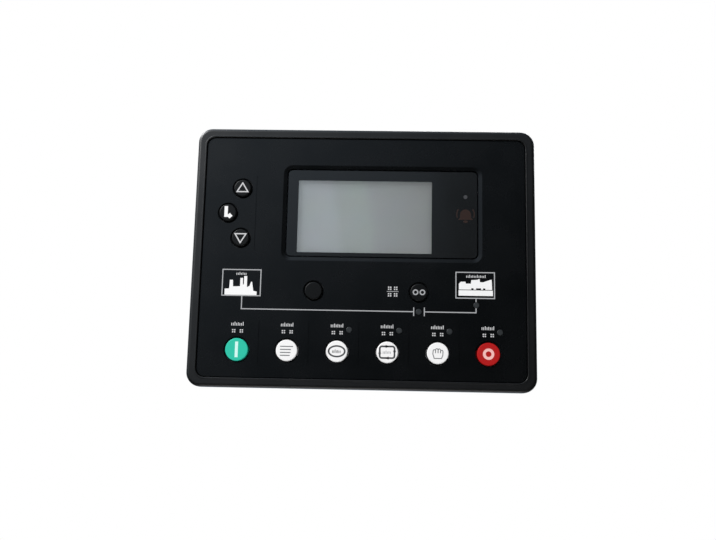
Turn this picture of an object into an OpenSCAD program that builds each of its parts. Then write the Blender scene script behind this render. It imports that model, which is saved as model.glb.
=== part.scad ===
// Panel-mounted controller for a generating set: a moulded bezel with an inset fascia,
// a display window, sprung keys, two circuit boards and a stepped rear housing with
// pluggable terminals. Each piece is drawn lying on its back: X runs to the right, Y up
// the face and Z out of the face, with Z = 0 on the panel that the controller is fixed to.
// upright() then stands it up, with the face towards -Y and the top towards +Z.

/* [Bezel] */
// Width of the bezel
front_w = 242; // [238:1:262]
// Height of the bezel
front_h = 186; // [182:1:202]
// Radius of the bezel's outer corners
corner_r = 10; // [9:0.5:14]
// Width of the raised rim
rim_w = 6.5; // [5.5:0.1:7]
// Height of the rim's inner ridge above the fascia
rim_proud = 1.2; // [0.8:0.1:2.5]
// Height of the inner ridge above the rim's outer land
ridge_h = 0.3; // [0.2:0.1:0.8]
// Width of the inner ridge
ridge_w = 1.5; // [1:0.1:2]
// Radius of the rim's inner corners
rim_inner_r = 6.4; // [4.5:0.1:7.5]
// Radius of the rim's outer edge
rim_edge_r = 2.4; // [1.5:0.1:3]
// Thickness of the bezel's floor under the fascia
floor_t = 3; // [2.5:0.1:4]
// Depth of the pocket that takes the housing's front edge
pocket_d = 1.5; // [1:0.1:2.5]

/* [Fascia] */
// Thickness of the fascia
fascia_t = 2; // [1.5:0.1:2.5]
// Gap between the fascia's edge and the rim
fascia_gap = 0.4; // [0.3:0.1:1]
// Chamfer along the fascia's front edge
fascia_chamfer = 0.4; // [0.2:0.1:0.8]
// Width of the fine grooves that part the keys
groove_w = 0.7; // [0.4:0.1:1.2]
// Depth of the fine grooves
groove_d = 0.35; // [0.2:0.05:0.6]

/* [Window and display] */
// Width of the window lens
lens_w = 135.8; // [132:0.2:140]
// Height of the window lens
lens_h = 63.6; // [62:0.2:68]
// Radius of the lens's corners
lens_r = 3.6; // [2:0.1:6]
// Thickness of the lens
lens_t = 1.1; // [0.9:0.1:1.3]
// Gap round the lens
lens_gap = 0.4; // [0.2:0.1:0.8]
// Width of the bevel round the window
bevel_w = 2.6; // [1:0.1:3]
// Depth of the bevel round the window
bevel_d = 0.5; // [0.3:0.1:0.8]
// Centre of the lens from the middle of the face, to the right
lens_x = 12.8; // [10:0.1:16]
// Centre of the lens below the bezel's top edge
lens_down = 61.6; // [58:0.1:65]
// Width of the lit screen
screen_w = 95.2; // [90:0.2:98]
// Height of the lit screen
screen_h = 52.4; // [48:0.2:54]
// Centre of the screen from the centre of the lens, to the right
screen_dx = -12.3; // [-14:0.1:0]
// Centre of the screen from the centre of the lens, upwards
screen_dy = -2.4; // [-3:0.1:1]

/* [Keys] */
// Diameter of the white keys
key_d = 14.8; // [14:0.1:16.5]
// Diameter of the start and stop keys
end_key_d = 15.8; // [15:0.1:17.5]
// Diameter of the small black keys
small_key_d = 12.2; // [11.5:0.1:13.5]
// Gap between a key and its hole in the floor
key_gap = 0.8; // [0.4:0.05:0.9]
// Gap between a key and its hole in the fascia
ring_gap = 1.4; // [1:0.05:1.6]
// Height of a key above the fascia
key_proud = 1.4; // [0.8:0.1:2]
// Distance that a key can be pressed
key_travel = 1.2; // [0.8:0.1:1.5]
// First and last keys of the lower row, in from the bezel's sides
row_in = 34; // [33:0.05:37]
// Middle of the lower row, to the right of the middle of the face
row_x = 0.6; // [-1:0.1:1.5]
// Lower row of keys above the bezel's bottom edge
row_up = 26; // [24:0.1:29]
// Outer column of navigation keys, in from the bezel's left edge
nav_in = 33.8; // [33:0.1:38]
// Enter key's offset from that column
enter_dx = -9.8; // [-10.4:0.1:-8]
// Enter key above the level of the lens's centre
nav_dy = -1.1; // [-3:0.1:3]
// Rise from the enter key to the up key
nav_pitch = 18.1; // [17:0.1:19]
// Blank key from the centre of the lens, to the right
blank_dx = -47; // [-50:0.1:-42]
// Breaker key from the centre of the lens, to the right
breaker_dx = 26.7; // [24:0.1:31]
// Those two keys above the half-way level between the lens and the indicators
middle_dy = 1.2; // [-2:0.1:4]

/* [Indicators] */
// Diameter of an indicator light pipe
pipe_d = 4; // [3:0.1:4.6]
// Indicator's offset from its key, to the right
pipe_dx = 8.1; // [7:0.1:9]
// Row of the indicators above the lower keys
pipe_up = 15.2; // [14:0.1:17]
// Line of the single-line diagram below the breaker key
diagram_drop = 13.5; // [12:0.1:15]
// Generator indicator, in from the bezel's right edge
source_in = 41.6; // [39:0.1:44]
// Generator indicator's height above the diagram line
source_dy = 5.3; // [4:0.1:6]
// Alarm lamp from the centre of the lens, to the right
alarm_dx = 59.1; // [56:0.1:61]
// Alarm lamp above the centre of the lens
alarm_dy = 13; // [10:0.1:18]

/* [Housing] */
// Clearance of the housing in the panel cut-out
body_gap = 1; // [0.5:0.1:2]
// Wall of the housing
wall = 2; // [1.6:0.1:2.4]
// Depth of the whole housing behind the panel
body_depth = 43; // [40:0.5:48]
// Depth of the terminal shelves behind the panel
shelf_depth = 30; // [29:0.5:32]
// Height of each terminal shelf, beside the raised block
shelf_h = 37; // [36.5:0.5:40]
// Radius of the housing's upright corners
body_r = 4; // [2:0.5:6]
// Radius of the housing's back edges
back_r = 2.5; // [1:0.5:3]
// Clearance of the housing in the bezel's pocket
pocket_gap = 0.2; // [0.1:0.05:0.4]
// Width of a vent slot
vent_w = 2.4; // [1.8:0.1:3]
// Length of a vent slot
vent_len = 24; // [16:1:30]
// Spacing of the vent slots
vent_pitch = 5.5; // [4.5:0.1:7]
// Width of a clip slot, up the housing's side
clip_w = 12; // [10:0.5:14]
// Length of a clip slot, along the housing's depth
clip_len = 6; // [5:0.5:8]
// Clip slot's distance behind the panel
clip_depth = 12; // [10:0.5:14]
// Clip slots' distance from the middle of the side
clip_y = 28; // [24:1:31]

/* [Seal] */
// Thickness of the panel gasket
gasket_t = 1.5; // [1:0.1:2]
// Width of the bezel's flange at each side of the panel cut-out
flange_side = 14; // [12:0.5:15]
// Width of the bezel's flange above and below the panel cut-out
flange_end = 13; // [12:0.5:14]
// Gasket's distance from the bezel's outer edge
gasket_in = 3; // [2:0.5:5]

/* [Boards and fixings] */
// Thickness of a circuit board
pcb_t = 1.6; // [1.2:0.1:2]
// Gap between a board and the housing's wall
pcb_gap = 2; // [1.5:0.1:2.5]
// Length of the bezel's posts under the display board
post_len = 8; // [7.5:0.1:9]
// Length of the housing's posts under the terminal board
stub_len = 7.4; // [6.5:0.1:8.5]
// Diameter of the screws
screw_d = 3; // [2.5:0.1:3.5]
// Diameter of a screw's head
head_d = 5.6; // [5:0.1:6]
// Thickness of the silicone key mat
mat_t = 1.2; // [0.8:0.1:1.4]
// Height of the mat's domes
dome_h = 2.9; // [2.4:0.1:3.2]

/* [Terminals] */
// Spacing of the terminals
term_pitch = 5.08; // [4.9:0.01:5.12]
// Height of a terminal header above its board
header_h = 11; // [10:0.5:12]
// Depth of a header across its row
header_d = 11; // [10:0.5:12]
// Length of a terminal plug behind its header
plug_len = 11.4; // [10.5:0.1:13]
// Depth of a plug across its row
plug_d = 14; // [12:0.5:15]
// Terminal rows' distance from the housing's top and bottom
term_in = 17; // [16:0.5:18]

/* [Hidden] */
$fn = 48;
// Overlap of a cut past a face, and of two solids that join
over = 0.5;

// Levels out of the face
flange_z = gasket_t;
floor_back = flange_z + pocket_d;
floor_front = floor_back + floor_t;
face_z = floor_front + fascia_t;
rim_z = face_z + rim_proud;
land_z = rim_z - ridge_h;
key_top = face_z + key_proud;
display_front = floor_back - post_len;
display_back = display_front - pcb_t;
shelf_inner = wall - shelf_depth;
terminal_back = shelf_inner + stub_len;
terminal_front = terminal_back + pcb_t;
block_inner = wall - body_depth;
header_end = terminal_back - header_h;
plug_end = header_end - plug_len;
mat_front = display_front + mat_t;
dome_top = mat_front + dome_h;

// The panel cut-out and the housing that goes through it
cutout_w = front_w - 2 * flange_side;
cutout_h = front_h - 2 * flange_end;
body_w = cutout_w - 2 * body_gap;
body_h = cutout_h - 2 * body_gap;
block_h = body_h - 2 * shelf_h;

// The fascia and the window
rim_open_w = front_w - 2 * rim_w;
rim_open_h = front_h - 2 * rim_w;
fascia_w = rim_open_w - 2 * fascia_gap;
fascia_h = rim_open_h - 2 * fascia_gap;
fascia_r = rim_inner_r - fascia_gap;
lens_y = front_h / 2 - lens_down;
lens_low = lens_y - lens_h / 2;
screen_x = lens_x + screen_dx;
screen_y = lens_y + screen_dy;
lens_chamfer = 0.3;
window_margin = 2.4;

// The display: each layer's margin round the lit screen
glass_margin = 4.4;
glass_t = 2;
frame_t = 0.6;
frame_gap = 0.2;
frame_margin = 1.5;
frame_front = floor_back;
glass_front = frame_front - frame_t;
glass_back = glass_front - glass_t;
glass_w = screen_w + 2 * glass_margin;
glass_h = screen_h + 2 * glass_margin;
frame_w = glass_w + 2 * (frame_t + frame_gap);
frame_h = glass_h + 2 * (frame_t + frame_gap);

// Keys: centre of each one on the face
row_count = 6;
key_pitch = (front_w - 2 * row_in) / (row_count - 1);
row_y = row_up - front_h / 2;
pipe_y = row_y + pipe_up;
nav_x = nav_in - front_w / 2;
nav_y = lens_y + nav_dy;
middle_y = (lens_low + pipe_y) / 2 + middle_dy;
function row_spot(i) = [row_x + (i - (row_count - 1) / 2) * key_pitch, row_y];
up_at = [nav_x, nav_y + nav_pitch];
enter_at = [nav_x + enter_dx, nav_y];
down_at = [nav_x, nav_y - nav_pitch];
blank_at = [lens_x + blank_dx, middle_y];
breaker_at = [lens_x + breaker_dx, middle_y];
small_spots = [up_at, enter_at, down_at, blank_at, breaker_at];
white_spots = [for (i = [1:row_count - 2]) row_spot(i)];
end_spots = [row_spot(0), row_spot(row_count - 1)];
key_spots = concat(small_spots, white_spots, end_spots);
key_edge_r = 0.7;
key_wall = 1.5;
key_roof = 1.8;
stem_d = 6;
tab_w = 6;
tab_t = 1.4;
tab_catch = 1.4;
tab_gap = 0.4;
rest_gap = 0.3;
skirt_z = floor_back + key_travel + tab_gap;
tab_z = floor_back - tab_gap - tab_t;
stem_end = dome_top + rest_gap;

// Indicators: a light pipe over each lamp
diagram_y = middle_y - diagram_drop;
indicator_spots = concat(
    [for (i = [2:row_count - 1]) [row_spot(i)[0] + pipe_dx, pipe_y]],
    [[breaker_at[0], diagram_y], [front_w / 2 - source_in, diagram_y + source_dy]]
);
alarm_at = [lens_x + alarm_dx, lens_y + alarm_dy];
lamp_spots = concat(indicator_spots, [alarm_at]);
lamp_size = [3.5, 2.8, 1.8];
pipe_gap = 0.15;
pipe_collar_d = pipe_d + 2;
pipe_collar_t = 1;
pipe_lift = 0.6;
pipe_end = display_front + lamp_size[2] + pipe_lift;
pipe_proud = 0.2;
pipe_edge_r = 0.4;
lamp_edge_r = 0.05;

// Fixings: columns for the housing's screws, posts and stubs for the boards
column_in = 5.4;
column_r = 4.2;
column_clear = 0.7;
column_rise = 4.8;
column_foot = 5;
boss_h = 2;
boss_r = 3.2;
boss_skin = 1;
column_y = block_h / 2 + column_rise;
column_x = body_w / 2 - column_in;
column_top = floor_back - boss_h;
column_spots = concat(
    [for (sx = [-1, 1]) for (sy = [-1, 1]) [sx * column_x, sy * column_y]],
    [for (sy = [-1, 1]) [row_x, sy * (body_h / 2 - column_in)]]
);
pcb_w = body_w - 2 * (wall + pcb_gap);
pcb_h = body_h - 2 * (wall + pcb_gap);
pcb_r = 2;
post_r = 3;
post_clear = 1;
post_side = 32;
post_top = 7;
post_rise = 6.8;
post_x = pcb_w / 2 - post_side;
post_levels = [pcb_h / 2 - post_top, pipe_y + post_rise];
post_spots = [for (sx = [-1, 1]) for (y = post_levels) [sx * post_x, y]];
stub_x = 55;
stub_in = 4.2;
stub_y = body_h / 2 - wall - stub_in;
stub_spots = [for (sx = [-1, 1]) for (sy = [-1, 1]) [sx * stub_x, sy * stub_y]];
screw_play = 0.05;
screw_pass = 0.2;
head_h = 2.2;
head_gap = 0.4;
head_edge_r = 0.8;
drive_w = 0.8;
drive_len = 3.2;
drive_d = 1.1;
board_grip = 5;
tip_gap = 0.4;

// The key mat's two lobes, and its domes
mat_clear = 1;
mat_over = 8;
mat_beside = 12;
mat_top = middle_y + mat_over;
mat_right = nav_x + mat_beside;
mat_nav_top = up_at[1] + mat_over;
dome_base_d = 10;
dome_top_d = 6.4;
dome_cavity_d = 5.6;
dome_roof = 1.3;

// Terminals: where each row's plugs stand, and how many ways each one has
term_y = body_h / 2 - term_in;
plug_side = 0.8;
plug_step = 2;
top_ways = [12, 10, 12];
low_ways = [12, 10, 6];
function plug_w(ways) = ways * term_pitch + 2 * plug_side;
function plug_left(row, i) = i == 0
    ? -(plug_w(12) * 2 + plug_w(10)) / 2 - plug_step
    : plug_left(row, i - 1) + plug_w(row[i - 1]) + plug_step;
usb_slot = 24;
function low_shift(i) = i == 2 ? usb_slot : 0;
function top_x(i) = plug_left(top_ways, i) + plug_w(top_ways[i]) / 2;
function low_x(i) = plug_left(low_ways, i) + plug_w(low_ways[i]) / 2 + low_shift(i);
usb_x = plug_left(low_ways, 2) + usb_slot / 2 - plug_step / 2;
header_wall = 1.2;
header_floor = 2.6;
header_gap = 0.3;
nose_gap = 0.25;
entry_w = 3.2;
entry_h = 3.6;
entry_len = 6.4;
entry_y = -1.6;
clamp_d = 3.6;
clamp_len = 4.4;
clamp_z = 5.4;
clamp_head_d = 3.3;
clamp_head_len = 3.6;
clamp_slot = 0.6;
clamp_slot_d = 0.8;

// Parts on the boards: [width, height, rise]
moulded_r = 1;
processor_size = [20, 20, 1.6];
processor_at = [-30, -20];
link_size = [46, 7];
link_at = [30, 5];
relay_size = [15.4, 19, 15.2];
relay_step = 20;
relay_count = 6;
row_side = 24;
row_end = 18;
relay_first = row_side - pcb_w / 2;
relay_y = block_h / 2 - row_end;
sense_size = [22, 18, 17];
sense_step = 27;
sense_count = 3;
sense_first = row_side - pcb_w / 2;
sense_y = row_end - block_h / 2;
can_d = 12.5;
can_h = 16;
can_bead = 0.6;
can_step = 16;
can_rows = 2;
can_after = 32;
can_end = 13;
can_first = sense_first + (sense_count - 1) * sense_step + can_after;
can_y = can_end - block_h / 2;
converter_size = [32, 22, 11];
converter_in = [22, 20];
converter_at = [pcb_w / 2 - converter_in[0], converter_in[1] - block_h / 2];
choke_d = 20;
choke_bore_d = 8;
choke_h = 9;
choke_edge_r = 2;
choke_in = [22, 16];
choke_at = [pcb_w, block_h] / 2 - choke_in;
holder_size = [24, 22, 4.6];
holder_at = [-60, 20];
holder_r = 2;
holder_top = terminal_front + holder_size[2];
cell_d = 20;
cell_h = 3.2;
cell_gap = 0.3;
usb_size = [12, 11];
usb_h = shelf_depth + terminal_back + 0.6;
usb_wall = 0.8;
usb_floor = 2;
usb_tongue = [5.6, 3.2];

// Stands the face up, towards -Y
module upright() rotate([90, 0, 0]) children();

// Rounded rectangle about the origin
module round_rect(w, h, r) {
    square([w - 2 * r, h], center = true);
    square([w, h - 2 * r], center = true);
    for (sx = [-1, 1])
        for (sy = [-1, 1])
            translate([sx * (w / 2 - r), sy * (h / 2 - r)]) circle(r);
}

// Rounded slab between two levels
module slab(w, h, r, z0, z1) translate([0, 0, z0]) linear_extrude(z1 - z0) round_rect(w, h, r);

// Runs a profile round a rounded rectangle: its x is the distance in from the edge
module run_round(w, h, r) {
    for (side = [0, 1]) {
        long = side == 0 ? w - 2 * r : h - 2 * r;
        reach = side == 0 ? h / 2 : w / 2;
        for (turn = [0, 180])
            rotate([0, 0, side * 90 + turn])
                translate([-long / 2, -reach, 0])
                    rotate([90, 0, 90]) linear_extrude(long) children();
    }
    for (sx = [-1, 1])
        for (sy = [-1, 1])
            translate([sx * (w / 2 - r), sy * (h / 2 - r), 0])
                rotate([0, 0, atan2(sy, sx) - 45])
                    rotate_extrude(angle = 90) translate([r, 0]) mirror([1, 0]) children();
}

// Points of a circular arc
function arc(cx, cy, r, from, to, steps = 8) =
    [for (i = [0:steps]) let (a = from + (to - from) * i / steps) [cx + r * cos(a), cy + r * sin(a)]];

module at(spots) for (p = spots) translate([p[0], p[1], 0]) children();

module disc(d, z0, z1) translate([0, 0, z0]) cylinder(d = d, h = z1 - z0);

module block(size, z0, z1) translate([-size[0] / 2, -size[1] / 2, z0]) cube([size[0], size[1], z1 - z0]);

// Holes for the keys, with that gap round each, and for the indicators
module face_holes(z0, z1, gap) {
    at(small_spots) disc(small_key_d + 2 * gap, z0, z1);
    at(white_spots) disc(key_d + 2 * gap, z0, z1);
    at(end_spots) disc(end_key_d + 2 * gap, z0, z1);
    at(indicator_spots) disc(pipe_d + 2 * pipe_gap, z0, z1);
}

// Section of the rim's outer edge: wall, rounded edge and land
module edge_profile() polygon(concat(
    [[rim_edge_r + over, flange_z], [0, flange_z]],
    arc(rim_edge_r, land_z - rim_edge_r, rim_edge_r, 180, 90),
    [[rim_edge_r + over, land_z]]
));

// Section of the ridge along the rim's inner edge, with rounded shoulders
module ridge_profile() polygon(concat(
    [[ridge_h, land_z - over]],
    arc(2 * ridge_h, land_z, ridge_h, 180, 90),
    arc(ridge_w - ridge_h, land_z, ridge_h, 90, 0),
    [[ridge_w + over, land_z], [ridge_w + over, land_z - over]]
));

// Moulded bezel: rim, floor with its openings, screw bosses and board posts
module front_bezel() color("#2b2c2f") upright() {
    difference() {
        union() {
            run_round(front_w, front_h, corner_r) edge_profile();
            slab(front_w - 2 * rim_edge_r, front_h - 2 * rim_edge_r, corner_r - rim_edge_r, flange_z, land_z);
            run_round(rim_open_w + 2 * ridge_w, rim_open_h + 2 * ridge_w, rim_inner_r + ridge_w)
                ridge_profile();
        }
        slab(rim_open_w, rim_open_h, rim_inner_r, floor_front, rim_z + over);
        slab(body_w + 2 * pocket_gap, body_h + 2 * pocket_gap, body_r + pocket_gap,
            flange_z - over, floor_back);
        face_holes(floor_back - over, floor_front + over, key_gap);
        at([alarm_at]) disc(pipe_d + 2 * pipe_gap, floor_back - over, floor_front + over);
        translate([screen_x, screen_y, 0])
            block([screen_w, screen_h] + 2 * [window_margin, window_margin],
                floor_back - over, floor_front + over);
        at(column_spots) disc(screw_d + 2 * screw_play, floor_back - over, floor_front - boss_skin);
    }
    difference() {
        at(column_spots) disc(2 * boss_r, column_top, floor_back + over);
        at(column_spots) disc(screw_d + 2 * screw_play, column_top - over, floor_front - boss_skin);
    }
    difference() {
        at(post_spots) disc(2 * post_r, display_front, floor_back + over);
        at(post_spots) disc(screw_d + 2 * screw_play, display_front - over, floor_back - boss_skin);
    }
}

// Printed fascia plate: key holes, window opening and the grooves that part the keys
module fascia() color("#191c20") upright() difference() {
    slab(fascia_w, fascia_h, fascia_r, floor_front, face_z);
    face_holes(floor_front - over, face_z + over, ring_gap);
    translate([lens_x, lens_y, 0])
        window_opening();
    run_round(fascia_w, fascia_h, fascia_r) chamfer_profile(fascia_chamfer, face_z);
    fascia_grooves();
}

// The window's opening, with a bevel that falls from the face to the lens
module window_opening() {
    out = 2 * (lens_gap + bevel_w);
    slab(lens_w + 2 * lens_gap, lens_h + 2 * lens_gap, lens_r + lens_gap, floor_front - over, face_z + over);
    run_round(lens_w + out, lens_h + out, lens_r + out / 2) polygon([
        [0, face_z], [bevel_w, face_z - bevel_d], [bevel_w + over, face_z - bevel_d],
        [bevel_w + over, face_z + over], [0, face_z + over]
    ]);
}

// Triangle that takes the front edge off a plate whose front is at z
module chamfer_profile(leg, z) polygon([[-over, z - leg - over], [leg + over, z + over], [-over, z + over]]);

// Fine grooves: one left of each gap in the lower row, and one beside the navigation keys
row_groove_dx = -2.4;
row_groove_under = 9;
row_groove_over = 20.4;
nav_groove_dx = 10.2;
nav_groove_over = 9;
module fascia_grooves() {
    for (i = [0:row_count - 2])
        groove(row_spot(i)[0] + key_pitch / 2 + row_groove_dx,
            row_y - row_groove_under, row_y + row_groove_over);
    groove(nav_x + nav_groove_dx, down_at[1] - nav_groove_over, up_at[1] + nav_groove_over);
}

module groove(x, low, high)
    translate([x - groove_w / 2, low, face_z - groove_d]) cube([groove_w, high - low, groove_d + over]);

// Window lens, bonded to the floor in the fascia's opening
module display_lens() color("#30363a", 0.6) upright() translate([lens_x, lens_y, 0]) difference() {
    slab(lens_w, lens_h, lens_r, floor_front, floor_front + lens_t);
    run_round(lens_w, lens_h, lens_r) chamfer_profile(lens_chamfer, floor_front + lens_t);
}

// Closed-cell gasket between the bezel's flange and the panel
module panel_gasket() color("#101112") upright() difference() {
    slab(front_w - 2 * gasket_in, front_h - 2 * gasket_in, corner_r - gasket_in, 0, gasket_t);
    slab(cutout_w, cutout_h, body_r, -over, gasket_t + over);
}

// Pressed frame that holds the display's glass and backlight on the display board
module lcd_frame() color("#3a3b3d") upright() translate([screen_x, screen_y, 0]) difference() {
    block([frame_w, frame_h], display_front, frame_front);
    block([glass_w + 2 * frame_gap, glass_h + 2 * frame_gap], display_front - over, glass_front);
    block([screen_w + 2 * frame_margin, screen_h + 2 * frame_margin], glass_front - over, frame_front + over);
}

module lcd_glass() color("#8d9695") upright() translate([screen_x, screen_y, 0])
    block([glass_w, glass_h], glass_back, glass_front);

module lcd_backlight() color("#eef0ee") upright() translate([screen_x, screen_y, 0])
    block([glass_w, glass_h], display_front, glass_back);

// Outline of a board, notched round the housing's columns
module board_outline() difference() {
    round_rect(pcb_w, pcb_h, pcb_r);
    for (p = column_spots) translate(p) circle(column_r + column_clear);
}

module display_board() color("#1f5b3a") upright() difference() {
    translate([0, 0, display_back]) linear_extrude(pcb_t) board_outline();
    at(post_spots) disc(screw_d + 2 * screw_pass, display_back - over, display_front + over);
}

// Silicone mat: an L-shaped sheet with a dome behind each key
module key_mat() color("#5b5f63") upright() difference() {
    union() {
        translate([0, 0, display_front]) linear_extrude(mat_t) intersection() {
            board_outline();
            union() {
                translate([-pcb_w / 2, -pcb_h / 2]) square([pcb_w, mat_top + pcb_h / 2]);
                translate([-pcb_w / 2, -pcb_h / 2]) square([mat_right + pcb_w / 2, mat_nav_top + pcb_h / 2]);
            }
        }
        at(key_spots) translate([0, 0, mat_front - over / 10])
            cylinder(d1 = dome_base_d, d2 = dome_top_d, h = dome_h + over / 10);
    }
    at(key_spots) disc(dome_cavity_d, display_front - over, dome_top - dome_roof);
    at(post_spots) disc(2 * (post_r + post_clear), display_front - over, mat_front + over);
    at(lamp_spots) disc(pipe_d + 2 * mat_clear, display_front - over, mat_front + over);
}

// Acrylic light pipes, each with a collar behind the bezel's floor
module light_pipes() color("#9aa0a2", 0.8) upright() {
    at(indicator_spots) light_pipe(face_z + pipe_proud, pipe_edge_r);
    at([alarm_at]) light_pipe(floor_front, lamp_edge_r);
}

module light_pipe(top, edge_r) rotate_extrude() polygon(concat(
    [[0, pipe_end], [pipe_d / 2, pipe_end]],
    [[pipe_d / 2, floor_back - pipe_collar_t], [pipe_collar_d / 2, floor_back - pipe_collar_t]],
    [[pipe_collar_d / 2, floor_back], [pipe_d / 2, floor_back]],
    arc(pipe_d / 2 - edge_r, top - edge_r, edge_r, 0, 90),
    [[0, top]]
));

module leds() color("#f2efe2") upright() at(lamp_spots)
    block(lamp_size, display_front, display_front + lamp_size[2]);

module processor() color("#17181a") upright() at([processor_at])
    block(processor_size, display_back - processor_size[2], display_back);

// Board-to-board connector: a pin header on one board, its socket on the other
link_z = (display_back + terminal_front) / 2;
module link_header() color("#1b1c1e") upright() at([link_at]) block(link_size, link_z, display_back);

module link_socket() color("#26282b") upright() at([link_at]) block(link_size, terminal_front, link_z);

module terminal_board() color("#1f5b3a") upright() difference() {
    translate([0, 0, terminal_back]) linear_extrude(pcb_t) board_outline();
    at(stub_spots) disc(screw_d + 2 * screw_pass, terminal_back - over, terminal_front + over);
}

module relays() color("#2a4fa0") upright()
    for (i = [0:relay_count - 1])
        translate([relay_first + i * relay_step, relay_y, 0])
            slab(relay_size[0], relay_size[1], moulded_r, terminal_back - relay_size[2], terminal_back);

module sense_transformers() color("#22262c") upright()
    for (i = [0:sense_count - 1])
        translate([sense_first + i * sense_step, sense_y, 0])
            slab(sense_size[0], sense_size[1], moulded_r, terminal_back - sense_size[2], terminal_back);

module capacitors() color("#33406a") upright()
    for (i = [0:can_rows - 1])
        for (j = [0:can_rows - 1])
            translate([can_first + i * can_step, can_y + j * can_step, terminal_back]) rotate([180, 0, 0])
                rotate_extrude() polygon(concat(
                    [[0, 0], [can_d / 2, 0]],
                    arc(can_d / 2 - can_bead, can_h - can_bead, can_bead, 0, 90),
                    [[0, can_h]]
                ));

module power_converter() color("#1d1e20") upright() at([converter_at])
    slab(converter_size[0], converter_size[1], moulded_r, terminal_back - converter_size[2], terminal_back);

module inductor() color("#8a5a2b") upright() translate([choke_at[0], choke_at[1], terminal_back - choke_h])
    rotate_extrude() translate([choke_bore_d / 2 + (choke_d - choke_bore_d) / 4, choke_h / 2])
        round_rect((choke_d - choke_bore_d) / 2, choke_h, choke_edge_r);

module battery_holder() color("#141517") upright() at([holder_at]) difference() {
    slab(holder_size[0], holder_size[1], holder_r, terminal_front, holder_top);
    disc(cell_d + 2 * cell_gap, holder_top - cell_h, holder_top + over);
}

module clock_battery() color("#c9cbcd") upright() at([holder_at])
    disc(cell_d, holder_top - cell_h, holder_top);

// Square socket for a service cable, open at the back
module usb_socket() color("#b9bcc0") upright() translate([usb_x, -term_y, 0]) {
    difference() {
        block(usb_size, terminal_back - usb_h, terminal_back);
        block(usb_size - 2 * [usb_wall, usb_wall], terminal_back - usb_h - over, terminal_back - usb_floor);
    }
    block(usb_tongue, terminal_back - usb_h + usb_wall, terminal_back - usb_floor + over / 10);
}

// Terminal header: an open box on the board that takes a plug's nose
module header_box(ways) difference() {
    block([plug_w(ways), header_d], header_end, terminal_back);
    block([plug_w(ways), header_d] - 2 * [header_wall, header_wall],
        header_end - over, terminal_back - header_floor);
}

// Terminal plug: a nose in the header, a body with a wire entry and a clamp screw for each way.
// Its clamp screws face +Y, so the lower row is turned round.
function way_x(ways, i) = (i - (ways - 1) / 2) * term_pitch;
nose_end = terminal_back - header_floor - header_gap;
module plug_body(ways) difference() {
    union() {
        block([plug_w(ways), plug_d], plug_end, header_end);
        block([plug_w(ways) - 2 * (header_wall + nose_gap), header_d - 2 * (header_wall + nose_gap)],
            header_end - over, nose_end);
    }
    for (i = [0:ways - 1])
        translate([way_x(ways, i), 0, 0]) {
            translate([0, entry_y, 0]) block([entry_w, entry_h], plug_end - over, plug_end + entry_len);
            translate([0, plug_d / 2 + over, plug_end + clamp_z])
                rotate([90, 0, 0]) cylinder(d = clamp_d, h = clamp_len + over);
        }
}

// Slotted screws that stand on the bottoms of the clamp holes
module plug_screws(ways)
    for (i = [0:ways - 1])
        translate([way_x(ways, i), plug_d / 2 - clamp_len, plug_end + clamp_z]) difference() {
            rotate([-90, 0, 0]) cylinder(d = clamp_head_d, h = clamp_head_len);
            translate([-clamp_head_d, clamp_head_len - clamp_slot_d, -clamp_slot / 2])
                cube([2 * clamp_head_d, clamp_slot_d + over, clamp_slot]);
        }

module on_top(i) upright() translate([top_x(i), term_y, 0]) children();
module on_low(i) upright() translate([low_x(i), -term_y, 0]) rotate([0, 0, 180]) children();

header_colour = "#1d6b41";
plug_colour = "#2a8a55";
module header_inputs() color(header_colour) on_top(0) header_box(top_ways[0]);
module header_outputs() color(header_colour) on_top(1) header_box(top_ways[1]);
module header_sensors() color(header_colour) on_top(2) header_box(top_ways[2]);
module header_supply() color(header_colour) on_low(0) header_box(low_ways[0]);
module header_bus() color(header_colour) on_low(1) header_box(low_ways[1]);
module header_current() color(header_colour) on_low(2) header_box(low_ways[2]);
module plug_inputs() color(plug_colour) on_top(0) plug_body(top_ways[0]);
module plug_outputs() color(plug_colour) on_top(1) plug_body(top_ways[1]);
module plug_sensors() color(plug_colour) on_top(2) plug_body(top_ways[2]);
module plug_supply() color(plug_colour) on_low(0) plug_body(low_ways[0]);
module plug_bus() color(plug_colour) on_low(1) plug_body(low_ways[1]);
module plug_current() color(plug_colour) on_low(2) plug_body(low_ways[2]);

module terminal_screws() color("#c4c6c8") for (i = [0:2]) {
    on_top(i) plug_screws(top_ways[i]);
    on_low(i) plug_screws(low_ways[i]);
}

// Stepped section of the housing, from the panel side back to the block
module housing_section(half, inset, front) {
    r = max(back_r - inset, 0.2);
    low = inset - shelf_depth;
    back = inset - body_depth;
    mid = block_h / 2 - inset;
    top = half - inset;
    polygon(concat(
        [[-top, front], [-top, low + r]],
        arc(-top + r, low + r, r, 180, 270),
        [[-mid, low]],
        arc(-mid + r, back + r, r, 180, 270),
        arc(mid - r, back + r, r, 270, 360),
        [[mid, low]],
        arc(top - r, low + r, r, 270, 360),
        [[top, front]]
    ));
}

module housing_solid(inset, front) intersection() {
    rotate([90, 0, 90]) translate([0, 0, inset - body_w / 2]) linear_extrude(body_w - 2 * inset)
        housing_section(body_h / 2, inset, front);
    slab(body_w - 2 * inset, body_h - 2 * inset, max(body_r - inset, 0.2), -body_depth - over, front + over);
}

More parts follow.
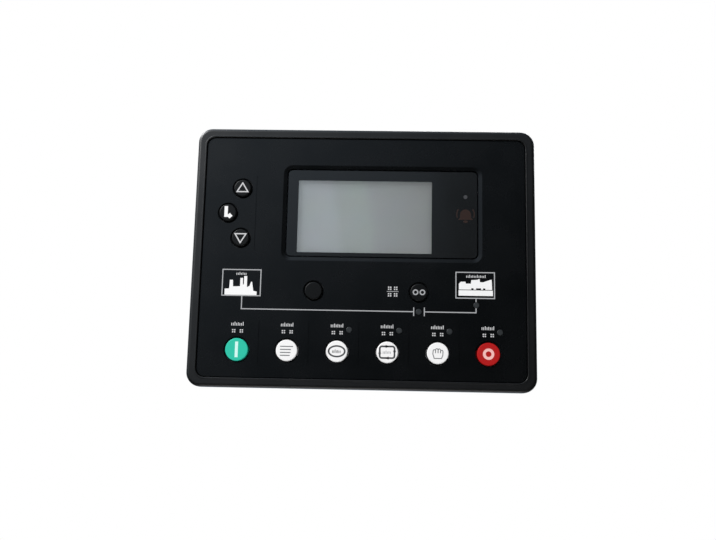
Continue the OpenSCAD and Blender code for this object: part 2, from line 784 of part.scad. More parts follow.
// Rear housing: a stepped shell with screw columns, board stubs, vents and clip slots
module rear_housing() color("#202225") upright() difference() {
    union() {
        difference() {
            housing_solid(0, floor_back);
            housing_solid(wall, floor_back + over);
        }
        intersection() {
            housing_solid(0, floor_back);
            at(column_spots) disc(2 * column_r, shelf_inner - over, column_top);
        }
        at(stub_spots) disc(2 * post_r, shelf_inner - over, terminal_back);
    }
    at(column_spots) {
        disc(screw_d + 2 * screw_pass, -shelf_depth - over, column_top + over);
        disc(head_d + 2 * head_gap, -shelf_depth - over, column_top - column_foot);
    }
    at(stub_spots) disc(screw_d + 2 * screw_play, shelf_inner, terminal_back + over);
    for (i = [0:2]) {
        translate([top_x(i), term_y, 0]) header_slot(top_ways[i]);
        translate([low_x(i), -term_y, 0]) header_slot(low_ways[i]);
    }
    translate([usb_x, -term_y, 0])
        block(usb_size + 2 * [header_gap, header_gap], -shelf_depth - over, shelf_inner + over);
    for (sx = [-1, 1]) {
        back_vents(sx);
        side_vents(sx);
        for (sy = [-1, 1]) clip_slot(sx, sy);
    }
}

module header_slot(ways)
    block([plug_w(ways), header_d] + 2 * [header_gap, header_gap], -shelf_depth - over, shelf_inner + over);

// Two groups of upright slots through the block's back
vents = 9;
vent_mid = 58;
module back_vents(sx)
    for (i = [0:vents - 1])
        translate([sx * vent_mid + (i - (vents - 1) / 2) * vent_pitch, 0, 0])
            slab(vent_w, vent_len, vent_w / 2.01, -body_depth - over, block_inner + over);

// A group of slots through each side of the block
side_vent_count = 7;
side_vent_len = 9;
module side_vents(sx)
    for (i = [0:side_vent_count - 1])
        translate([sx * (body_w / 2 - wall / 2), (i - (side_vent_count - 1) / 2) * vent_pitch,
            -(shelf_depth + body_depth) / 2])
            cube([wall + 2 * over, vent_w, side_vent_len], center = true);

// Slot in the housing's side for a fixing clip
module clip_slot(sx, sy)
    translate([sx * (body_w / 2 - wall / 2), sy * clip_y, -clip_depth])
        cube([wall + 2 * over, clip_w, clip_len], center = true);

// Pan-head screw with its head's seat at z = 0 and its shank along +Z
module screw(shank) difference() {
    rotate_extrude() polygon(concat(
        [[0, shank], [screw_d / 2, shank], [screw_d / 2, 0], [head_d / 2, 0]],
        arc(head_d / 2 - head_edge_r, head_edge_r - head_h, head_edge_r, 0, -90),
        [[0, -head_h]]
    ));
    for (turn = [0, 90])
        rotate([0, 0, turn]) translate([-drive_len / 2, -drive_w / 2, -head_h - over])
            cube([drive_len, drive_w, drive_d + over]);
}

// Screws that pull the housing against the bezel's bosses
module housing_screws() color("#8c8f93") upright()
    at(column_spots) translate([0, 0, column_top - column_foot])
        screw(column_foot + boss_h + floor_t - boss_skin - tip_gap);

// Screws that hold both boards: the display board from behind, the terminal board from in front
module board_screws() color("#8c8f93") upright() {
    at(post_spots) translate([0, 0, display_back]) screw(pcb_t + board_grip);
    at(stub_spots) translate([0, 0, terminal_front]) mirror([0, 0, 1]) screw(pcb_t + board_grip);
}

// Key: a cap on a hollow skirt, with a stem to its dome and two tabs behind the floor
module key(spot, d, turn) upright() translate([spot[0], spot[1], 0]) {
    rotate_extrude() polygon(concat(
        [[0, stem_end], [stem_d / 2, stem_end], [stem_d / 2, key_top - key_roof]],
        [[d / 2 - key_wall, key_top - key_roof], [d / 2 - key_wall, skirt_z], [d / 2, skirt_z]],
        arc(d / 2 - key_edge_r, key_top - key_edge_r, key_edge_r, 0, 90),
        [[0, key_top]]
    ));
    rotate([0, 0, turn]) block([tab_w, d + 2 * (key_gap + tab_catch)], tab_z, tab_z + tab_t);
}

black_key = "#16191b";
white_key = "#f4f4f6";
module key_up() color(black_key) key(up_at, small_key_d, 0);
module key_enter() color(black_key) key(enter_at, small_key_d, 0);
module key_down() color(black_key) key(down_at, small_key_d, 0);
module key_blank() color(black_key) key(blank_at, small_key_d, 0);
module key_breaker() color(black_key) key(breaker_at, small_key_d, 0);
module key_start() color("#38c8af") key(row_spot(0), end_key_d, 90);
module key_menu() color(white_key) key(row_spot(1), key_d, 90);
module key_diagnostic() color(white_key) key(row_spot(2), key_d, 90);
module key_auto() color(white_key) key(row_spot(3), key_d, 90);
module key_manual() color(white_key) key(row_spot(4), key_d, 90);
module key_stop() color("#c81e23") key(row_spot(5), end_key_d, 90);

front_bezel();
fascia();
display_lens();
panel_gasket();
lcd_frame();
lcd_glass();
lcd_backlight();
display_board();
key_mat();
light_pipes();
leds();
processor();
link_header();
link_socket();
terminal_board();
relays();
sense_transformers();
capacitors();
power_converter();
inductor();
battery_holder();
clock_battery();
usb_socket();
header_inputs();
header_outputs();
header_sensors();
header_supply();
header_bus();
header_current();
plug_inputs();
plug_outputs();
plug_sensors();
plug_supply();
plug_bus();
plug_current();
terminal_screws();
rear_housing();
housing_screws();
board_screws();
key_up();
key_enter();
key_down();
key_blank();
key_breaker();
key_start();
key_menu();
key_diagnostic();
key_auto();
key_manual();
key_stop();
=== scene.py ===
import math

import bmesh
import bpy
from mathutils import Matrix, Quaternion, Vector


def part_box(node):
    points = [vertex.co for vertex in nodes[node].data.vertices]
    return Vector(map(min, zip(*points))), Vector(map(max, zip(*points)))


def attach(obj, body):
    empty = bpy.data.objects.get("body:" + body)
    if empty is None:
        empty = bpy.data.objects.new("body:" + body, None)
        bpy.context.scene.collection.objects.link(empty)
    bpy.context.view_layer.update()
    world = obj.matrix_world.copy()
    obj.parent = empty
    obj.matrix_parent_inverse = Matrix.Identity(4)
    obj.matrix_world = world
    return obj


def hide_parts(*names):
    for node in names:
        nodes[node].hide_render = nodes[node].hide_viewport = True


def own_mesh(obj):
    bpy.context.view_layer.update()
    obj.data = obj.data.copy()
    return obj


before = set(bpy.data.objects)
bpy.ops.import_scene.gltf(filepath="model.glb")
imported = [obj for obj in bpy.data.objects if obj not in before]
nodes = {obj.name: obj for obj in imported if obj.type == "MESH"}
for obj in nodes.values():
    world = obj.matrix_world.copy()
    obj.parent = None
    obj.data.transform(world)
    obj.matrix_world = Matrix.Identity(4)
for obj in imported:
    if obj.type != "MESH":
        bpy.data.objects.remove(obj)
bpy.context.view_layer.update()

# The studio: a camera where the photographer stood, a little below the middle of the face and to its
# right. A large softbox hangs high on the left, a second one lights the back, and a small one draws the
# upper left edge.
MM = 0.001
PHOTO_WIDTH_PX = 716
FOCAL_PX = 866.6
SENSOR_MM = 36.0
CAMERA_AT_MM = (17.05, -607.34, -114.23)
AIM_AT_MM = (-3.35, -8.0, -9.6)
CAMERA_ROLL = math.radians(1.26)
CAMERA_NEAR_MM = 10.0

bpy.context.scene.view_settings.view_transform = "Standard"
camera = bpy.data.objects.new("camera", bpy.data.cameras.new("camera"))
bpy.context.scene.collection.objects.link(camera)
bpy.context.scene.camera = camera
camera.data.sensor_width = SENSOR_MM
camera.data.lens = SENSOR_MM * FOCAL_PX / PHOTO_WIDTH_PX
camera.data.clip_start = CAMERA_NEAR_MM * MM
camera.location = Vector(CAMERA_AT_MM) * MM
camera.rotation_mode = "QUATERNION"
sight = (Vector(AIM_AT_MM) - Vector(CAMERA_AT_MM)).to_track_quat("-Z", "Y")
camera.rotation_quaternion = sight @ Quaternion((0, 0, 1), CAMERA_ROLL)


def softbox(name, at, size, watts, colour):
    """A square area lamp, in metres, that looks at the middle of the object."""
    lamp = bpy.data.lights.new(name, "AREA")
    lamp.size = size
    lamp.energy = watts
    lamp.color = colour
    holder = bpy.data.objects.new(name, lamp)
    bpy.context.scene.collection.objects.link(holder)
    holder.location = at
    holder.rotation_euler = (-Vector(at)).to_track_quat("-Z", "Y").to_euler()


softbox("softbox_key", at=(-0.92, -0.75, 0.86), size=0.70, watts=14.0, colour=(1.0, 0.985, 0.97))
softbox("softbox_back", at=(0.50, 1.10, 0.80), size=0.80, watts=14.0, colour=(1.0, 1.0, 1.0))
softbox("softbox_edge", at=(-0.84, 0.10, 0.84), size=0.30, watts=9.0, colour=(1.0, 1.0, 1.0))

# The room: white paper for the camera, for glass and for gloss that looks past the object. Gloss that
# looks forward sees a dark room, lighter towards the softbox, with a dark flag on each side. Matt faces
# see an even light.
ROOM_LIGHT = 0.77
TOWARD_SOFTBOX = (-0.6, 0.0, 0.8)
SOFTBOX_GLOW = 0.92
RIGHT_FLAG_SLANT = (1.0, 0.0, 0.21)
RIGHT_FLAG_LEVEL = 0.38
LEFT_FLAG_LEVEL = 0.25


def srgb(code):
    """Linear colour, with alpha 1, of an sRGB hex value such as "1a2b3c"."""
    parts = [int(code[i:i + 2], 16) / 255 for i in (0, 2, 4)]
    linear = [p / 12.92 if p <= 0.04045 else ((p + 0.055) / 1.055) ** 2.4 for p in parts]
    return (*linear, 1.0)


def add(tree, kind, inputs=(), **settings):
    """Adds a node with its settings. inputs pairs an input's name or number with a socket or a value."""
    node = tree.nodes.new("ShaderNode" + kind)
    for name, value in settings.items():
        setattr(node, name, value)
    for key, value in inputs:
        if isinstance(value, bpy.types.NodeSocket):
            tree.links.new(value, node.inputs[key])
        else:
            node.inputs[key].default_value = value
    return node


world = bpy.data.worlds.new("studio")
world.use_nodes = True
bpy.context.scene.world = world
sky = world.node_tree
sky.nodes.clear()
rays = add(sky, "LightPath")
toward = add(sky, "TexCoord")
split = add(sky, "SeparateXYZ", [(0, toward.outputs["Generated"])])
slope = add(sky, "VectorMath", [(0, toward.outputs["Generated"]), (1, TOWARD_SOFTBOX)],
            operation="DOT_PRODUCT")
front = add(sky, "MapRange", [("Value", slope.outputs["Value"]), ("From Min", 0.08), ("From Max", 0.70),
                              ("To Min", 0.0), ("To Max", SOFTBOX_GLOW)])
edge = add(sky, "VectorMath", [(0, toward.outputs["Generated"]), (1, RIGHT_FLAG_SLANT)],
           operation="DOT_PRODUCT")
right_flag = add(sky, "MapRange", [("Value", edge.outputs["Value"]), ("From Min", 0.108),
                                   ("From Max", 0.125), ("To Min", 1.0), ("To Max", RIGHT_FLAG_LEVEL)])
left_flag = add(sky, "MapRange", [("Value", split.outputs["X"]), ("From Min", -0.80),
                                  ("From Max", -0.45), ("To Min", LEFT_FLAG_LEVEL), ("To Max", 1.0)])
paper = add(sky, "MapRange", [("Value", split.outputs["Y"]), ("From Min", 0.5), ("From Max", 0.9),
                              ("To Min", 0.0), ("To Max", 1.0)])
flagged = add(sky, "Math", [(0, right_flag.outputs[0]), (1, left_flag.outputs[0])], operation="MULTIPLY")
shaded = add(sky, "Math", [(0, front.outputs[0]), (1, flagged.outputs[0])], operation="MULTIPLY")
gloss = add(sky, "Math", [(0, shaded.outputs[0]), (1, paper.outputs[0])], operation="MAXIMUM")
glossy_room = add(sky, "Background", [("Color", srgb("d8ebff")), ("Strength", gloss.outputs[0])])
matt_room = add(sky, "Background", [("Color", srgb("ffffff")), ("Strength", ROOM_LIGHT)])
white_paper = add(sky, "Background", [("Color", srgb("ffffff")), ("Strength", 1.0)])
lit = add(sky, "MixShader", [(0, rays.outputs["Is Glossy Ray"]), (1, matt_room.outputs[0]),
                             (2, glossy_room.outputs[0])])
seen = add(sky, "Math", [(0, rays.outputs["Is Camera Ray"]), (1, rays.outputs["Is Transmission Ray"])],
           operation="MAXIMUM")
shown = add(sky, "MixShader", [(0, seen.outputs[0]), (1, lit.outputs[0]), (2, white_paper.outputs[0])])
add(sky, "OutputWorld", [("Surface", shown.outputs[0])])

# Floor: a round board far below the object, painted matt and nearly white. The roller that spread the
# paint left a faint mottling.
FLOOR_DROP_MM = 750.0
FLOOR_R_MM = 360.0
ROLLER_MM = 9.0


def new_material(name):
    """A named material with a Principled shader: the material, its tree and the shader."""
    material = bpy.data.materials.new(name)
    material.use_nodes = True
    tree = material.node_tree
    tree.nodes.clear()
    shader = add(tree, "BsdfPrincipled")
    add(tree, "OutputMaterial", [("Surface", shader.outputs[0])])
    return material, tree, shader


def per_mm(size):
    """Texture scale, in the object's metres, that gives one feature every so many millimetres."""
    return 1.0 / (size * MM)


floor_paint, tree, shader = new_material("matt_floor_paint")
place = add(tree, "TexCoord")
roller = add(tree, "TexNoise", [("Vector", place.outputs["Object"]), ("Scale", per_mm(ROLLER_MM)),
                                ("Detail", 3.0)])
tone = add(tree, "MixRGB", [(0, roller.outputs["Fac"]), (1, srgb("eceded")), (2, srgb("f2f2f1"))])
tree.links.new(tone.outputs[0], shader.inputs["Base Color"])
shader.inputs["Roughness"].default_value = 0.85
disc = bmesh.new()
bmesh.ops.create_circle(disc, cap_ends=True, radius=FLOOR_R_MM * MM, segments=96)
floor_mesh = bpy.data.meshes.new("floor")
disc.to_mesh(floor_mesh)
disc.free()
floor_mesh.materials.append(floor_paint)
floor = bpy.data.objects.new("floor", floor_mesh)
bpy.context.scene.collection.objects.link(floor)
floor.location.z = -FLOOR_DROP_MM * MM

# Front bezel: the moulded rim and floor that carry everything else. Charcoal ABS from a spark-eroded
# mould, so it is a little greyer and rougher than the fascia inside it.
SHEEN_SWING = 0.04


def dress(names, material):
    """Gives CAD nodes their finish."""
    for name in names:
        nodes[name].data.materials.clear()
        nodes[name].data.materials.append(material)


def moulded(name, colours, roughness, grain_mm, depth_mm, cloud_mm=30.0, specular=0.5):
    """Plastic, rubber or ink with an even skin: a fine grain in relief, and slow clouds in tone and sheen.
    colours are the darker and lighter tones of the clouds. The real grain is too fine to show, so it is
    drawn as coarse as it needs to be."""
    material, tree, shader = new_material(name)
    place = add(tree, "TexCoord")
    cloud = add(tree, "TexNoise", [("Vector", place.outputs["Object"]), ("Scale", per_mm(cloud_mm)),
                                   ("Detail", 3.0)])
    grain = add(tree, "TexNoise", [("Vector", place.outputs["Object"]), ("Scale", per_mm(grain_mm)),
                                   ("Detail", 2.0)])
    tone = add(tree, "MixRGB", [(0, cloud.outputs["Fac"]), (1, srgb(colours[0])), (2, srgb(colours[1]))])
    sheen = add(tree, "MapRange", [("Value", cloud.outputs["Fac"]), ("From Min", 0.25), ("From Max", 0.75),
                                   ("To Min", roughness - SHEEN_SWING),
                                   ("To Max", roughness + SHEEN_SWING)])
    relief = add(tree, "Bump", [("Height", grain.outputs["Fac"]), ("Distance", depth_mm * MM)])
    tree.links.new(tone.outputs[0], shader.inputs["Base Color"])
    tree.links.new(sheen.outputs["Result"], shader.inputs["Roughness"])
    tree.links.new(relief.outputs["Normal"], shader.inputs["Normal"])
    shader.inputs["IOR"].default_value = 1.53
    shader.inputs["Specular IOR Level"].default_value = specular
    return material


bezel_abs = moulded("charcoal_abs_grained", ("08090a", "0c0d0e"), 0.40, grain_mm=0.8, depth_mm=0.012,
                    specular=0.65)
dress(["front_bezel"], bezel_abs)

# Panel gasket: a die-cut ring of closed-cell foam stuck to the bezel's flange. Matt black, with open
# pores where the knife cut the cells.
PORE_MM = 0.9
PORE_DEEP_MM = 0.15
foam, tree, shader = new_material("closed_cell_foam_black")
place = add(tree, "TexCoord")
cells = add(tree, "TexVoronoi", [("Vector", place.outputs["Object"]), ("Scale", per_mm(PORE_MM))])
tone = add(tree, "MixRGB", [(0, cells.outputs["Distance"]), (1, srgb("0f1011")), (2, srgb("1c1d1e"))])
pores = add(tree, "Bump", [("Height", cells.outputs["Distance"]), ("Distance", PORE_DEEP_MM * MM)])
tree.links.new(tone.outputs[0], shader.inputs["Base Color"])
tree.links.new(pores.outputs["Normal"], shader.inputs["Normal"])
shader.inputs["Roughness"].default_value = 0.92
dress(["panel_gasket"], foam)

# Fascia: a plate of black polycarbonate, cut to shape and bonded into the rim. Its hard coat is satin, so
# it is blacker and smoother than the rim, and it carries the screen print.
fascia_pc = moulded("black_polycarbonate_satin", ("030506", "050709"), 0.26, grain_mm=0.6, depth_mm=0.004)
dress(["fascia"], fascia_pc)
FACE_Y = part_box("fascia")[0].y

# Legends over the lower row of keys: screen print on the fascia, in a soft white ink. Each is a word's
# length of upright strokes, with two small marks of four tiles under it.
LOWER_KEYS = ("key_start", "key_menu", "key_diagnostic", "key_auto", "key_manual", "key_stop")
LEGEND_MM = 9.2
LEGEND_TALL_MM = 2.6
LEGEND_RISE_MM = 18.0
LEGEND_STROKES = 8
STROKE_HEIGHTS = (0.72, 0.72, 1.0, 0.72, 0.86)
STROKE_SHARE = 0.5
TILE_MM = 2.5
TILE_RISE_MM = 13.0
TILE_STEP_MM = 2.7


def centre_mm(node):
    """Centre of a node on the face, in millimetres: to the right and up."""
    low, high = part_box(node)
    return (low.x + high.x) / 2 / MM, (low.z + high.z) / 2 / MM


def box_outline(x0, z0, x1, z1):
    """Rectangle between two corners."""
    return [(x0, z0), (x1, z0), (x1, z1), (x0, z1)]


def legend(cx, cz, width, tall, strokes):
    """A line of print that stands for a word: upright strokes of three heights about a centre."""
    pitch = width / strokes
    left = cx - width / 2
    low = cz - tall / 2
    return [[box_outline(left + pitch * i, low, left + pitch * (i + STROKE_SHARE),
                         low + tall * STROKE_HEIGHTS[i % len(STROKE_HEIGHTS)])]
            for i in range(strokes)]


def tiles(cx, cz, size):
    """A small mark of four tiles about a centre."""
    side = size * 0.36
    step = size * 0.28
    return [[box_outline(cx + sx * step - side / 2, cz + sz * step - side / 2,
                         cx + sx * step + side / 2, cz + sz * step + side / 2)]
            for sx in (-1, 1) for sz in (-1, 1)]


word_marks = []
for key in LOWER_KEYS:
    x, z = centre_mm(key)
    word_marks += legend(x, z + LEGEND_RISE_MM, LEGEND_MM, LEGEND_TALL_MM, LEGEND_STROKES)
    for side in (-1, 1):
        word_marks += tiles(x + side * TILE_STEP_MM, z + TILE_RISE_MM, TILE_MM)

# Single-line diagram: screen print of the load's box with a works' skyline on the left, and of the
# generator's box with an engine on the right. A line joins them, and the breaker's two contacts and an
# indicator interrupt it.
LINE_MM = 0.7
LINE_Z = -38.4
LOAD_BOX = (-98.65, -29.05, -71.65, -10.65)
LOAD_WORD = (-85.2, -13.4, 7.6, 2.0, 7)  # centre, width, height and strokes
LOAD_LEG_X = -84.5
SOURCE_BOX = (65.25, -28.25, 92.05, -10.05)
SOURCE_WORD = (79.4, -12.8, 14.0, 2.0, 13)
SOURCE_LEG_X = 79.2
CONTACT_X = (36.0, 43.4)
CONTACT_HALF = 3.0
INDICATOR_GAP = (3.1, 7.5)  # from and to, above the line
SKYLINE = [
    (-96.8, -28.6), (-96.8, -24.4), (-93.7, -24.2), (-93.4, -18.0), (-91.3, -18.0), (-91.0, -22.7),
    (-86.1, -22.5), (-86.0, -16.6), (-84.2, -16.6), (-84.1, -21.2), (-83.4, -21.2), (-83.4, -15.2),
    (-81.3, -15.2), (-81.2, -23.1), (-79.4, -22.2), (-78.4, -19.2), (-77.7, -19.2), (-76.6, -25.6),
    (-74.2, -26.2), (-74.2, -28.6),
]
ENGINE = [
    (67.3, -22.2), (67.3, -18.2), (68.7, -16.7), (71.9, -16.7), (72.1, -18.0), (75.7, -18.0),
    (75.9, -15.5), (80.5, -15.2), (80.9, -14.7), (81.7, -14.7), (82.0, -16.9), (84.1, -16.9),
    (89.3, -15.1), (90.1, -15.1), (90.4, -22.2), (85.7, -22.2), (85.7, -21.2), (84.1, -21.2),
    (84.1, -22.2), (82.7, -22.2), (82.7, -21.2), (79.3, -21.2), (79.3, -22.2), (77.5, -22.2),
    (77.5, -21.2), (75.9, -21.2), (75.9, -22.2),
]
ENGINE_BED = (67.1, -26.5, 90.9, -22.7)
MITRE_LIMIT = 0.4


def parallel(points, shift, closed):
    """A line beside a line of points, to its left, with mitred corners."""
    count = len(points)
    moved = []
    for i in range(count):
        here = Vector(points[i])
        before = here - Vector(points[i - 1]) if closed or i > 0 else None
        after = Vector(points[(i + 1) % count]) - here if closed or i < count - 1 else None
        sides = [Vector((-d.y, d.x)).normalized() for d in (before, after) if d is not None]
        middle = sum(sides, Vector((0, 0))).normalized()
        moved.append(tuple(here + middle * shift / max(middle.dot(sides[0]), MITRE_LIMIT)))
    return moved


def band(points, width):
    """Outlines of a closed line of that width."""
    return [parallel(points, -width / 2, True), parallel(points, width / 2, True)]


def stroke(points, width):
    """Outline of an open line of that width."""
    return [parallel(points, width / 2, False) + parallel(points, -width / 2, False)[::-1]]


picture_marks = [[SKYLINE], [ENGINE], [box_outline(*ENGINE_BED)]]
word_marks += legend(*LOAD_WORD) + legend(*SOURCE_WORD)
ruled_marks = [band(box_outline(*frame_box), LINE_MM) for frame_box in (LOAD_BOX, SOURCE_BOX)]
half = LINE_MM / 2
gap_low, gap_high = (LINE_Z + rise for rise in INDICATOR_GAP)
for leg in (
    [(LOAD_LEG_X, LOAD_BOX[1] - half), (LOAD_LEG_X, LINE_Z), (CONTACT_X[0] - half, LINE_Z)],
    [(CONTACT_X[1] + half, LINE_Z), (SOURCE_LEG_X, LINE_Z), (SOURCE_LEG_X, gap_low)],
    [(SOURCE_LEG_X, gap_high), (SOURCE_LEG_X, SOURCE_BOX[1] - half)],
):
    ruled_marks.append(stroke(leg, LINE_MM))
for x in CONTACT_X:
    ruled_marks.append([box_outline(x - half, LINE_Z - CONTACT_HALF, x + half, LINE_Z + CONTACT_HALF)])

# Caption beside the breaker key: screen print of two lines, with two small marks of four tiles in each
# and a thin rule between them.
CAPTION_X = (19.1, 23.3)
CAPTION_Z = (-22.2, -26.8)
CAPTION_TILE_MM = 2.6
CAPTION_RULE = (17.1, -24.65, 25.3, -24.25)
for z in CAPTION_Z:
    for x in CAPTION_X:
        word_marks += tiles(x, z, CAPTION_TILE_MM)
ruled_marks.append([box_outline(*CAPTION_RULE)])

# Screen print on the fascia: matt ink that was pushed through a mesh, white for the pictures, softer for
# the words and pale grey for the rules. It is a film with a real thickness, half of it above the plate.
INK_MM = 0.05
WELD_M = 1e-7


def screen_ink(name, colours, roughness=0.55, mesh_mm=0.5):
    """Matt ink with the faint tooth that its mesh left."""
    return moulded("screen_ink_" + name, colours, roughness, grain_mm=mesh_mm, depth_mm=0.003)


def film(outlines, thickness_mm):
    """Flat solid inside closed outlines in millimetres, in the XZ plane. Later outlines cut holes."""
    curve = bpy.data.curves.new("film", "CURVE")
    curve.dimensions = "2D"
    curve.fill_mode = "BOTH"
    curve.extrude = thickness_mm * MM / 2
    for outline in outlines:
        spline = curve.splines.new("POLY")
        spline.points.add(len(outline) - 1)
        for point, (x, z) in zip(spline.points, outline):
            point.co = (x * MM, z * MM, 0, 1)
        spline.use_cyclic_u = True
    holder = bpy.data.objects.new("film", curve)
    bpy.context.scene.collection.objects.link(holder)
    bpy.context.view_layer.update()
    mesh = bpy.data.meshes.new_from_object(holder.evaluated_get(bpy.context.evaluated_depsgraph_get()))
    bpy.data.objects.remove(holder)
    bpy.data.curves.remove(curve)
    mesh.transform(Matrix.Rotation(math.pi / 2, 4, "X"))
    return mesh


def flat_piece(name, shapes, at, body, material, thickness_mm=INK_MM):
    """A piece of flat solids, one for each set of outlines, whose middle lies at that point."""
    joined = bmesh.new()
    for outlines in shapes:
        mesh = film(outlines, thickness_mm)
        joined.from_mesh(mesh)
        bpy.data.meshes.remove(mesh)
    bmesh.ops.remove_doubles(joined, verts=joined.verts, dist=WELD_M)
    bmesh.ops.translate(joined, verts=joined.verts, vec=at)
    bmesh.ops.recalc_face_normals(joined, faces=joined.faces)
    mesh = bpy.data.meshes.new(name)
    joined.to_mesh(mesh)
    joined.free()
    mesh.materials.append(material)
    piece = bpy.data.objects.new(name, mesh)
    bpy.context.scene.collection.objects.link(piece)
    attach(piece, body)
    return piece


white_ink = screen_ink("white", ("edeeef", "f3f4f5"))
soft_ink = screen_ink("soft_white", ("c2c3c5", "cacbcd"))
pale_ink = screen_ink("pale_grey", ("a2a4a7", "acaeb1"))
flat_piece("picture_print", picture_marks, (0, FACE_Y, 0), "case", white_ink)
flat_piece("legend_print", word_marks, (0, FACE_Y, 0), "case", soft_ink)
flat_piece("ruled_print", ruled_marks, (0, FACE_Y, 0), "case", pale_ink)

# Window lens: clear cast acrylic, polished, bonded to the bezel's floor. A charcoal mask is printed on
# its front under a gloss lacquer, with a clear window over the display and a small one over the alarm
# lamp. Faint smears vary the polish.
SMEAR_MM = 40.0
MASK_EDGE_MM = 0.6
MASK_MM = 0.04
LENS_R_MM = 3.6
SCREEN_MM = (95.2, 52.4)
SCREEN_R_MM = 0.4
ALARM_AT_MM = (71.9, 44.4)
ALARM_R_MM = 1.5


def round_box(cx, cz, w, h, r, steps=6):
    """Rounded rectangle about a centre."""
    points = []
    for k, (sx, sz) in enumerate(((1, 1), (-1, 1), (-1, -1), (1, -1))):
        corner_x = cx + sx * (w / 2 - r)
        corner_z = cz + sz * (h / 2 - r)
        for i in range(steps + 1):
            a = math.pi / 2 * (k + i / steps)
            points.append((corner_x + r * math.cos(a), corner_z + r * math.sin(a)))
    return points


def ellipse(cx, cz, rx, rz, steps=48):
    """Ellipse about a centre."""
    turns = [2 * math.pi * i / steps for i in range(steps)]
    return [(cx + rx * math.cos(a), cz + rz * math.sin(a)) for a in turns]


acrylic, tree, shader = new_material("cast_acrylic_clear")
place = add(tree, "TexCoord")
smear = add(tree, "TexNoise", [("Vector", place.outputs["Object"]), ("Scale", per_mm(SMEAR_MM)),
                               ("Detail", 4.0)])
haze = add(tree, "MapRange", [("Value", smear.outputs["Fac"]), ("From Min", 0.3), ("From Max", 0.7),
                              ("To Min", 0.02), ("To Max", 0.09)])
tree.links.new(haze.outputs["Result"], shader.inputs["Roughness"])
shader.inputs["Base Color"].default_value = srgb("fbfcfc")
shader.inputs["Transmission Weight"].default_value = 1.0
shader.inputs["IOR"].default_value = 1.49
dress(["display_lens"], acrylic)
lens_low, lens_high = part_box("display_lens")
mask_w, mask_h = ((lens_high[axis] - lens_low[axis]) / MM - 2 * MASK_EDGE_MM for axis in (0, 2))
mask = [
    round_box(*centre_mm("display_lens"), mask_w, mask_h, LENS_R_MM - MASK_EDGE_MM),
    round_box(*centre_mm("lcd_glass"), *SCREEN_MM, SCREEN_R_MM, steps=3),
    ellipse(*ALARM_AT_MM, ALARM_R_MM, ALARM_R_MM),
]
mask_ink = moulded("lacquered_ink_charcoal", ("161819", "1a1c1e"), 0.07, grain_mm=2.0, depth_mm=0.0006,
                   specular=0.8)
flat_piece("lens_mask", [mask], (0, lens_low.y, 0), "case", mask_ink, MASK_MM)

# Alarm symbol, and the window of its lamp: matt screen print on the front of the lens. The symbol is a
# bell in a dark red that only glows when its lamp is lit, and the window is frosted grey.
SYMBOL_MM = 0.09
WINDOW_GAP_MM = 0.1
BELL_AT_MM = (72.0, 31.0)
BELL_HALF_MM = 3.9
BELL_LIP_MM = (5.3, -3.2)
BELL_WAIST_MM = -1.6
BELL_SHOULDER_MM = 0.4
BELL_CROWN_MM = 4.0
CROWN_STEPS = 12
CLAPPER_DROP_MM = 4.5
CLAPPER_MM = (1.7, 0.9)
SOUND_R_MM = 6.2
SOUND_RISE_MM = 0.8
SOUND_LINE_MM = 0.8
SOUND_DEGREES = (-24, -12, 0, 12, 24, 36)
bell_x, bell_z = BELL_AT_MM
lip_x, lip_z = BELL_LIP_MM
crown = [math.pi * (1 - i / CROWN_STEPS) for i in range(CROWN_STEPS + 1)]
bell = [(-lip_x, lip_z), (-BELL_HALF_MM, BELL_WAIST_MM)]
bell += [(BELL_HALF_MM * math.cos(a), BELL_SHOULDER_MM + BELL_CROWN_MM * math.sin(a)) for a in crown]
bell += [(BELL_HALF_MM, BELL_WAIST_MM), (lip_x, lip_z)]
bell = [(bell_x + x, bell_z + z) for x, z in bell]
clapper = ellipse(bell_x, bell_z - CLAPPER_DROP_MM, *CLAPPER_MM, steps=20)
sound_z = bell_z + SOUND_RISE_MM
sound = [stroke([(bell_x + side * SOUND_R_MM * math.cos(a), sound_z + SOUND_R_MM * math.sin(a))
                 for a in map(math.radians, SOUND_DEGREES)], SOUND_LINE_MM)
         for side in (-1, 1)]
dead_red_ink = screen_ink("dead_red", ("2a140a", "31190e"), 0.5, mesh_mm=0.6)
flat_piece("alarm_symbol", [[bell], [clapper]] + sound, (0, lens_low.y, 0), "case",
           dead_red_ink, SYMBOL_MM)
window_r = ALARM_R_MM - WINDOW_GAP_MM
frost_ink = screen_ink("frosted", ("3b3d40", "44464a"), 0.5, mesh_mm=0.6)
flat_piece("alarm_window", [[ellipse(*ALARM_AT_MM, window_r, window_r)]], (0, lens_low.y, 0),
           "case", frost_ink, SYMBOL_MM)

# Display: a reflective liquid-crystal glass under a matt polariser, held in a steel frame behind the lens.
# It is a matt grey-green, with a painted reflection across it: a little brighter on the left, up to a
# leaning edge, and darker to the right. It also has a painted glow, though it is no lamp.
LCD_PAINTED_GLOW = 0.4
REFLECTION_LEAN = (1.0, 0.0, 0.08)
LCD_REFLECTION_TONES = ((0.32, "8b9296"), (0.39, "848c8d"), (0.55, "838b8b"), (0.63, "7d8385"), (1.0, "727677"))
WEAVE_MM = 18.0
WEAVE_SHARE = 0.06
polariser, tree, shader = new_material("lcd_polariser_painted_light")
place = add(tree, "TexCoord")
